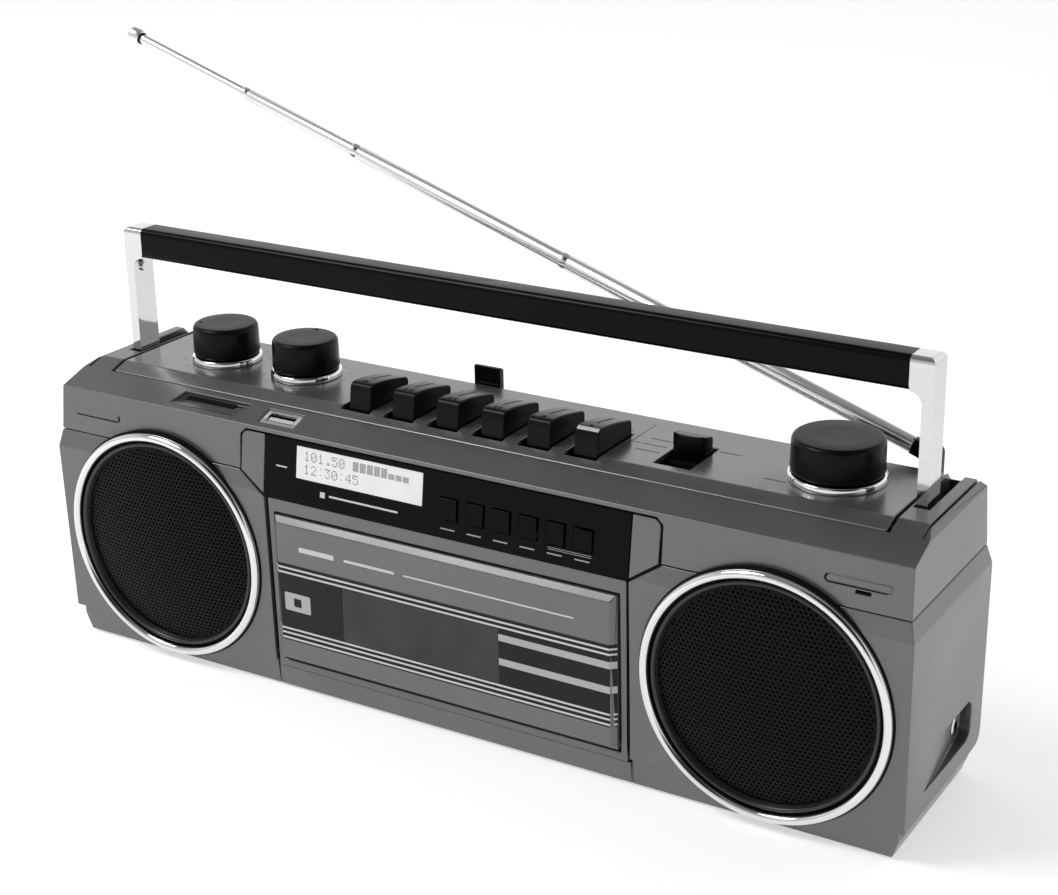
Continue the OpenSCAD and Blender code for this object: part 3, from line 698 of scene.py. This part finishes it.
def door():
    """Cassette door and its smoked window."""
    refine("cassette_door", "body", 0.5 * MM, segments=3)
    (x0, _, z0), (x1, _, z1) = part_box("door_window")
    outline = rounded(x0, z0, x1, z1, 0.2 * MM, 2)
    rear = low("cassette_door").y + 2.25 * MM
    pane = prism("smoke_pane", outline, 0, 2.0 * MM, "smoke", "door",
                 lean(Vector((0, rear, 0)), math.pi / 2))
    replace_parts(pane, "door_window")


def door_prints():
    """Dark field round the window, level stripes and bars, over the door's rounded front."""
    front = low("cassette_door").y
    half = high("cassette_door").x - 2.8 * MM
    (x0, _, _), (x1, _, _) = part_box("door_window")

    def path(left, right, lift):
        """Level line along the front, with the bent ends where it reaches them."""
        flat = half - 2.4 * MM
        side_y = front + 2.2 * MM
        corners = [(-half, side_y), (-flat, front), (flat, front), (half, side_y)]
        points = [(x, y - lift) for x, y in corners if left < x < right]
        if left > -half:
            points.insert(0, (left, front - lift))
        if right < half:
            points.append((right, front - lift))
        return points

    top = high("cassette_door").z - 2.5 * MM
    lie = (Matrix.Translation((0, front, top)) @ Matrix.Rotation(DOOR_LEAN, 4, "X")
           @ Matrix.Translation((0, -front, -top)))

    def band(name, z0, z1, mat, left=-1.0, right=1.0, lift=0.04 * MM):
        """Print between two heights in millimetres. Without left and right it runs across."""
        strip(name, path(left, right, lift), z0 * MM, z1 * MM, mat, "door", lie)

    band("print_left", 26.4, 61.8, "dark_ink", right=x0)
    band("print_right", 26.4, 61.8, "dark_ink", left=x1)
    band("print_top", 58.4, 61.8, "dark_ink", x0, x1)
    band("print_bottom", 26.4, 28.1, "dark_ink", x0, x1)
    band("print_low", 28.1, 32.6, "dark_ink", x0, x1)
    band("print_high", 57.0, 58.4, "dark_ink", x0, x1)
    over = 0.08 * MM
    for k, z in enumerate((59.9, 57.7, 31.9, 29.8, 27.5)):
        band(f"pinstripe_{k}", z - 0.42, z + 0.42, "ink", lift=over)
    band("stripe_high", 51.6, 54.6, "silver_ink", left=x1 + 0.1 * MM, lift=over)
    band("stripe_low", 41.0, 44.0, "silver_ink", left=x1 + 0.1 * MM, lift=over)
    print_face = lie @ lean(Vector((0, front - over, 0)), math.pi / 2)
    outline = rounded(-76.6 * MM, 40.6 * MM, -63.4 * MM, 48.8 * MM, 0.8 * MM)
    prism("stop_label", outline, -0.1 * MM, 0.03 * MM, "silver_ink", "door", print_face)
    boxes = metres(((-67.7, 68.5, -50.0, 70.7), (-44.9, 69.0, -20.0, 70.2),
                    (-15.5, 69.2, 63.5, 69.9)))
    marks("door_marks", boxes, "ink", "door", print_face)
    marks("stop_symbol", metres([(-71.9, 42.8, -68.1, 46.6)]), "dark_ink", "door",
          shift(print_face, 0, 0, 0.03 * MM))


# ---------- handle ----------

def handle():
    """Grip and the two chrome arms."""
    refine("handle_grip", "grip", 0)
    for side in ("l", "r"):
        refine("handle_arm_" + side, "arm", 0.3 * MM, 2, 20, clamp=True)


# ---------- knobs, keys and lever ----------

def knob_axis(node):
    """The knob's frame, standing on the plate, and its radius in millimetres."""
    centre = middle(node)
    place = Matrix.Translation((centre.x, centre.y, PLATE_TOP))
    return place, (high(node).x - centre.x) / MM


def knob(node, body, dot):
    """Knob on its shaft. Its pointer dot stands at that angle, or there is none."""
    place, r = knob_axis(node)
    top = (high(node).z - PLATE_TOP) / MM
    shaft_r, shaft_end, under = 3, -12, 3.5
    profile = [(0, shaft_end), (shaft_r, shaft_end), (shaft_r, under), (r - 0.6, under),
               (r - 0.2, 3.9), (r, 4.6), (r - 0.25, top - 1.9), (r - 0.45, top - 1.2),
               (r - 0.9, top - 0.5), (r - 1.5, top - 0.12), (r - 2.2, top),
               (r * 0.5, top - 0.15), (0, top - 0.2)]
    cap = lathe(node + "_cap", metres(profile), "satin", body, place, KNOB_STEPS, 30)
    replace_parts(cap, node)
    if dot is not None:
        reach = (r - 3.6) * MM
        dot_r, proud = 0.95, 0.02
        x = reach * math.cos(math.radians(dot))
        y = reach * math.sin(math.radians(dot))
        lathe(node + "_dot", metres([(0, -0.3), (dot_r, -0.3), (dot_r, proud), (0, 0)]),
              "cavity", body, shift(place, x, y, (top - proud) * MM), 32)


def knob_ring(name, knob_node, node):
    """Chrome ring that the knob stands in."""
    place, r = knob_axis(knob_node)
    bore, height = 3.7, 3.0
    profile = [(bore, 0.05), (r + 0.7, 0), (r + 0.95, 0.2), (r + 1.0, 0.6), (r + 0.9, 2.1),
               (r + 0.7, 2.6), (r + 0.3, 2.9), (r - 0.2, height), (bore, height)]
    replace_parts(lathe(name, metres(profile), "chrome", "cabinet", place, KNOB_STEPS, 50), node)


# Side view of a key: distance behind the row's middle, and height over the plate, in millimetres.
KEY_PROFILE = ((-15.4, -8), (-15.45, 0), (-14.85, 4.5), (-14.45, 7.2), (-14.2, 8.4),
               (-13.75, 9.3), (-13.0, 9.95), (-12, 10.25), (-10.5, 10.32), (-7.5, 10.15),
               (-4, 9.75), (0, 9.05), (4, 8.25), (8, 7.35), (10.6, 6.75), (11.6, 6.3),
               (12.15, 5.5), (12.3, 4.5), (12.3, -4.5), (10.8, -8))


def key_height(y):
    """Height of the key's top over the plate, y in millimetres from front to rear."""
    top = KEY_PROFILE[5:15]
    for (y0, z0), (y1, z1) in zip(top, top[1:]):
        if y <= y1:
            return z0 + (z1 - z0) * (y - y0) / (y1 - y0)
    return top[-1][1]


def draped(name, x0, x1, y0, y1, body, mat, steps=8):
    """A mark on the arched top of a key."""
    ys = [y0 + (y1 - y0) * k / steps for k in range(steps + 1)]
    path = [(y * MM, (key_height(y) + 0.05) * MM) for y in ys]
    strip(name, path, x0, x1, mat, body, KEY_SIDE, thick=-0.3 * MM)


def keys():
    """Piano keys, each with a groove and one or two plain bars. The last has a pale painted
    highlight.
    """
    signs = {1: ((-1.2, 1.2),), 2: ((-2.0, -0.6), (0.6, 2.0)), 3: ((-1.8, -0.5), (0.5, 1.8)),
             4: ((-1.6, -0.4), (0.4, 1.6)), 5: ((-0.9, 0.9),), 6: ((-0.8, 0.8),)}
    half = 5.3 * MM
    groove = 0.45 * MM
    for i in range(1, 7):
        x = middle(f"key_{i}").x
        body = f"piano_{i}"
        cap = prism(f"key_cap_{i}", metres(KEY_PROFILE), x - half, x + half, "key", body,
                    KEY_SIDE, bevel=0.6 * MM, segments=3, smooth=25)
        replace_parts(cap, f"key_{i}")
        draped(f"key_groove_{i}", x - groove, x + groove, -6, 7, body, "cavity")
        for n, (a, b) in enumerate(signs[i]):
            draped(f"key_sign_{i}_{n}", x + a * MM, x + b * MM, -11.3, -9.4, body, "cavity", 2)
    # Painted highlight: a pale band along the front top edge of the last key.
    record = middle("key_6").x
    draped("key_6_painted_highlight", record - 4.8 * MM, record + 4.8 * MM, -13.7, -12.1, "piano_6", "ink", 4)


def lever():
    """Lever cap with a round front, its top falling to the rear, and the dark slide under it."""
    x = middle("function_lever").x
    half, front, rear, bow = 7.25 * MM, 3 * MM, 11 * MM, 2.6 * MM
    outline = [(x + half, rear), (x - half, rear)]
    for k in range(13):
        a = math.radians(180 + 15 * k)
        outline.append((x + half * math.cos(a), front + bow + bow * math.sin(a)))

    def crown(y):
        """Height of the cap's top, which falls behind its level part."""
        top, fall, level = 7.9 * MM, 0.24, 5 * MM
        return top - fall * max(0, y - level)

    bm = bmesh.new()
    block(bm, [bm.verts.new((px, py, -4 * MM)) for px, py in outline],
          [bm.verts.new((px, py, crown(py))) for px, py in outline])
    outward(bm)
    cap = link(to_mesh(bm, "lever_cap"), "lever_cap", "key", "lever", PLATE, 25)
    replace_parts(soften(cap, 0.6 * MM, 3), "function_lever")
    sheet = rounded(x - 10.5 * MM, 0, x + 10.5 * MM, 14 * MM, 0.5 * MM)
    slide = prism("lever_slide", sheet, -4.8 * MM, -2.95 * MM, "cavity", "lever", PLATE)
    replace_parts(slide, "function_lever")


# ---------- aerial ----------

def aerial():
    """Every tube turns about the aerial's own axis, from the pin outwards."""
    pin = middle("aerial_turret")
    pin_depth = 3.5 * MM
    pin.z = high("aerial_turret").z - pin_depth
    place = Matrix.Translation(pin) @ Matrix.Rotation(AERIAL_TILT - math.pi / 2, 4, "Y")

    def tube(name, node, body, profile):
        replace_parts(lathe(name, metres(profile), "aerial", body, place, 64, 40), node)

    def section(start, end, r, bore):
        """One tube with a crimped groove near its end and an open mouth."""
        return [(0, start), (r, start), (r, end - 4.2), (r - 0.22, end - 3.9),
                (r - 0.22, end - 3.3), (r, end - 3.0), (r, end - 0.9), (r - 0.12, end - 0.35),
                (bore + 0.06, end), (bore, end), (bore, end - 6)]

    tube("aerial_sleeve_1", "aerial_tube_1", "aerial_1", section(8, 173, 3.5, 3.2))
    tube("aerial_sleeve_2", "aerial_tube_2", "aerial_2", section(118, 282.2, 3.15, 2.71))
    tube("aerial_sleeve_3", "aerial_tube_3", "aerial_3", section(189, 343.2, 2.65, 2.16))
    rod_r, rod_start, rod_end = 2.1, 250, 401.9
    tube("aerial_rod", "aerial_tip", "aerial_4",
         [(0, rod_start), (rod_r, rod_start), (rod_r, rod_end), (0, rod_end)])
    tube("aerial_cap", "aerial_tip", "aerial_4",
         [(2.0, 402.4), (3.3, 402.4), (3.5, 402.8), (3.5, 407.1), (3.3, 407.9), (2.8, 408.35),
          (0, 408.5)])
    seal = metres(((2.05, rod_end), (2.6, 402.0), (2.6, 402.45), (2.05, 402.45)))
    lathe("aerial_cap_seal", seal, "cavity", "aerial_4", place, 48)
    eye_r, neck, reach, half = 3.5 * MM, 3.2 * MM, 9 * MM, 1.9 * MM
    outline = [(eye_r * math.cos(a), eye_r * math.sin(a))
               for a in (math.radians(7.5 * k) for k in range(24, 49))]
    outline += [(neck, reach), (-neck, reach)]
    knuckle = prism("aerial_knuckle", outline, -half, half, "satin", "aerial_1",
                    place @ Matrix.Rotation(math.pi / 2, 4, "X"), bevel=0.3 * MM)
    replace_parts(knuckle, "aerial_tube_1")


cabinet()
corner_bars()
sd_ramp()
sockets()
plate_prints()
for side in ("l", "r"):
    speaker(side)
display()
buttons()
door()
door_prints()
handle()
knob("volume_knob", "volume", 208)
knob("tone_knob", "tone", 100)
knob("tuning_knob", "tuning", None)
knob_ring("volume_ring", "volume_knob", "knob_rings")
knob_ring("tone_ring", "tone_knob", "knob_rings")
knob_ring("tuning_ring_trim", "tuning_knob", "tuning_ring")
keys()
lever()
aerial()


# ---------- floor, light and camera ----------

def floor():
    mesh = bpy.data.meshes.new("floor")
    half = 12.0
    corners = [(-half, -half, 0), (half, -half, 0), (half, half, 0), (-half, half, 0)]
    mesh.from_pydata(corners, [], [(0, 1, 2, 3)])
    obj = bpy.data.objects.new("floor", mesh)
    bpy.context.scene.collection.objects.link(obj)
    mesh.materials.append(surface("floor_paper", shade(0.90), 0.7, vary=0.01, grain=40, bump=0.0,
                                  rough_vary=0.02, spec=0.2, glow=0.5))


def area(name, place, target, size, power):
    """A flat lamp that faces the target."""
    light = bpy.data.lights.new(name, "AREA")
    light.shape = "RECTANGLE"
    light.size, light.size_y = size
    light.energy = power
    obj = bpy.data.objects.new(name, light)
    bpy.context.scene.collection.objects.link(obj)
    obj.location = place
    direction = Vector(target) - Vector(place)
    obj.rotation_euler = direction.to_track_quat("-Z", "Y").to_euler()


def world():
    """White room: bright low down, darker overhead and in front, with a dark patch high up at the
    front right, which the shiny parts mirror."""
    studio = bpy.data.worlds.new("studio")
    bpy.context.scene.world = studio
    studio.use_nodes = True
    tree = studio.node_tree
    coord = tree.nodes.new("ShaderNodeTexCoord")
    parts = tree.nodes.new("ShaderNodeSeparateXYZ")
    tree.links.new(coord.outputs["Generated"], parts.inputs[0])

    def span(value, start, end, before, after):
        """Smooth step from one strength to another between start and end."""
        node = tree.nodes.new("ShaderNodeMapRange")
        node.interpolation_type = "SMOOTHSTEP"
        for key, number in (("From Min", start), ("From Max", end), ("To Min", before),
                            ("To Max", after)):
            node.inputs[key].default_value = number
        tree.links.new(value, node.inputs["Value"])
        return node.outputs["Result"]

    def times(a, b):
        node = tree.nodes.new("ShaderNodeMath")
        node.operation = "MULTIPLY"
        tree.links.new(a, node.inputs[0])
        tree.links.new(b, node.inputs[1])
        return node.outputs[0]

    dot = tree.nodes.new("ShaderNodeVectorMath")
    dot.operation = "DOT_PRODUCT"
    dot.inputs[1].default_value = Vector((0.52, -0.58, 0.62)).normalized()
    tree.links.new(coord.outputs["Generated"], dot.inputs[0])
    up = span(parts.outputs["Z"], 0.35, 0.80, 1.15, 0.30)
    rear = span(parts.outputs["Y"], -0.6, 0.3, 0.62, 1.0)
    person = span(dot.outputs["Value"], 0.80, 0.93, 1.0, 0.06)
    back = tree.nodes["Background"]
    tree.links.new(times(times(up, rear), person), back.inputs["Strength"])
    back.inputs["Color"].default_value = (1, 1, 1, 1)


def camera():
    """The photo's camera, fitted to the edges of the body."""
    cam = bpy.data.cameras.new("camera")
    cam.sensor_width = 36
    cam.lens = 68.40
    cam.shift_x = -0.0779
    cam.shift_y = -0.0342
    obj = bpy.data.objects.new("camera", cam)
    bpy.context.scene.collection.objects.link(obj)
    az, el, roll = math.radians(29.46), math.radians(20.07), math.radians(-0.13)
    back = Vector((math.sin(az) * math.cos(el), -math.cos(az) * math.cos(el), math.sin(el)))
    right = Vector((math.cos(az), math.sin(az), 0))
    up = back.cross(right)
    rolled_right = math.cos(roll) * right + math.sin(roll) * up
    rolled_up = -math.sin(roll) * right + math.cos(roll) * up
    place = Vector((0.41771, -0.63967, 0.40725))
    turn = Matrix((rolled_right, rolled_up, back)).transposed().to_4x4()
    obj.matrix_world = Matrix.Translation(place) @ turn
    bpy.context.scene.camera = obj


floor()
world()
area("key", (-0.95, -0.68, 1.5), (0, 0, 0.08), (0.7, 0.7), 14)
bpy.context.scene.view_settings.view_transform = "Standard"
camera()
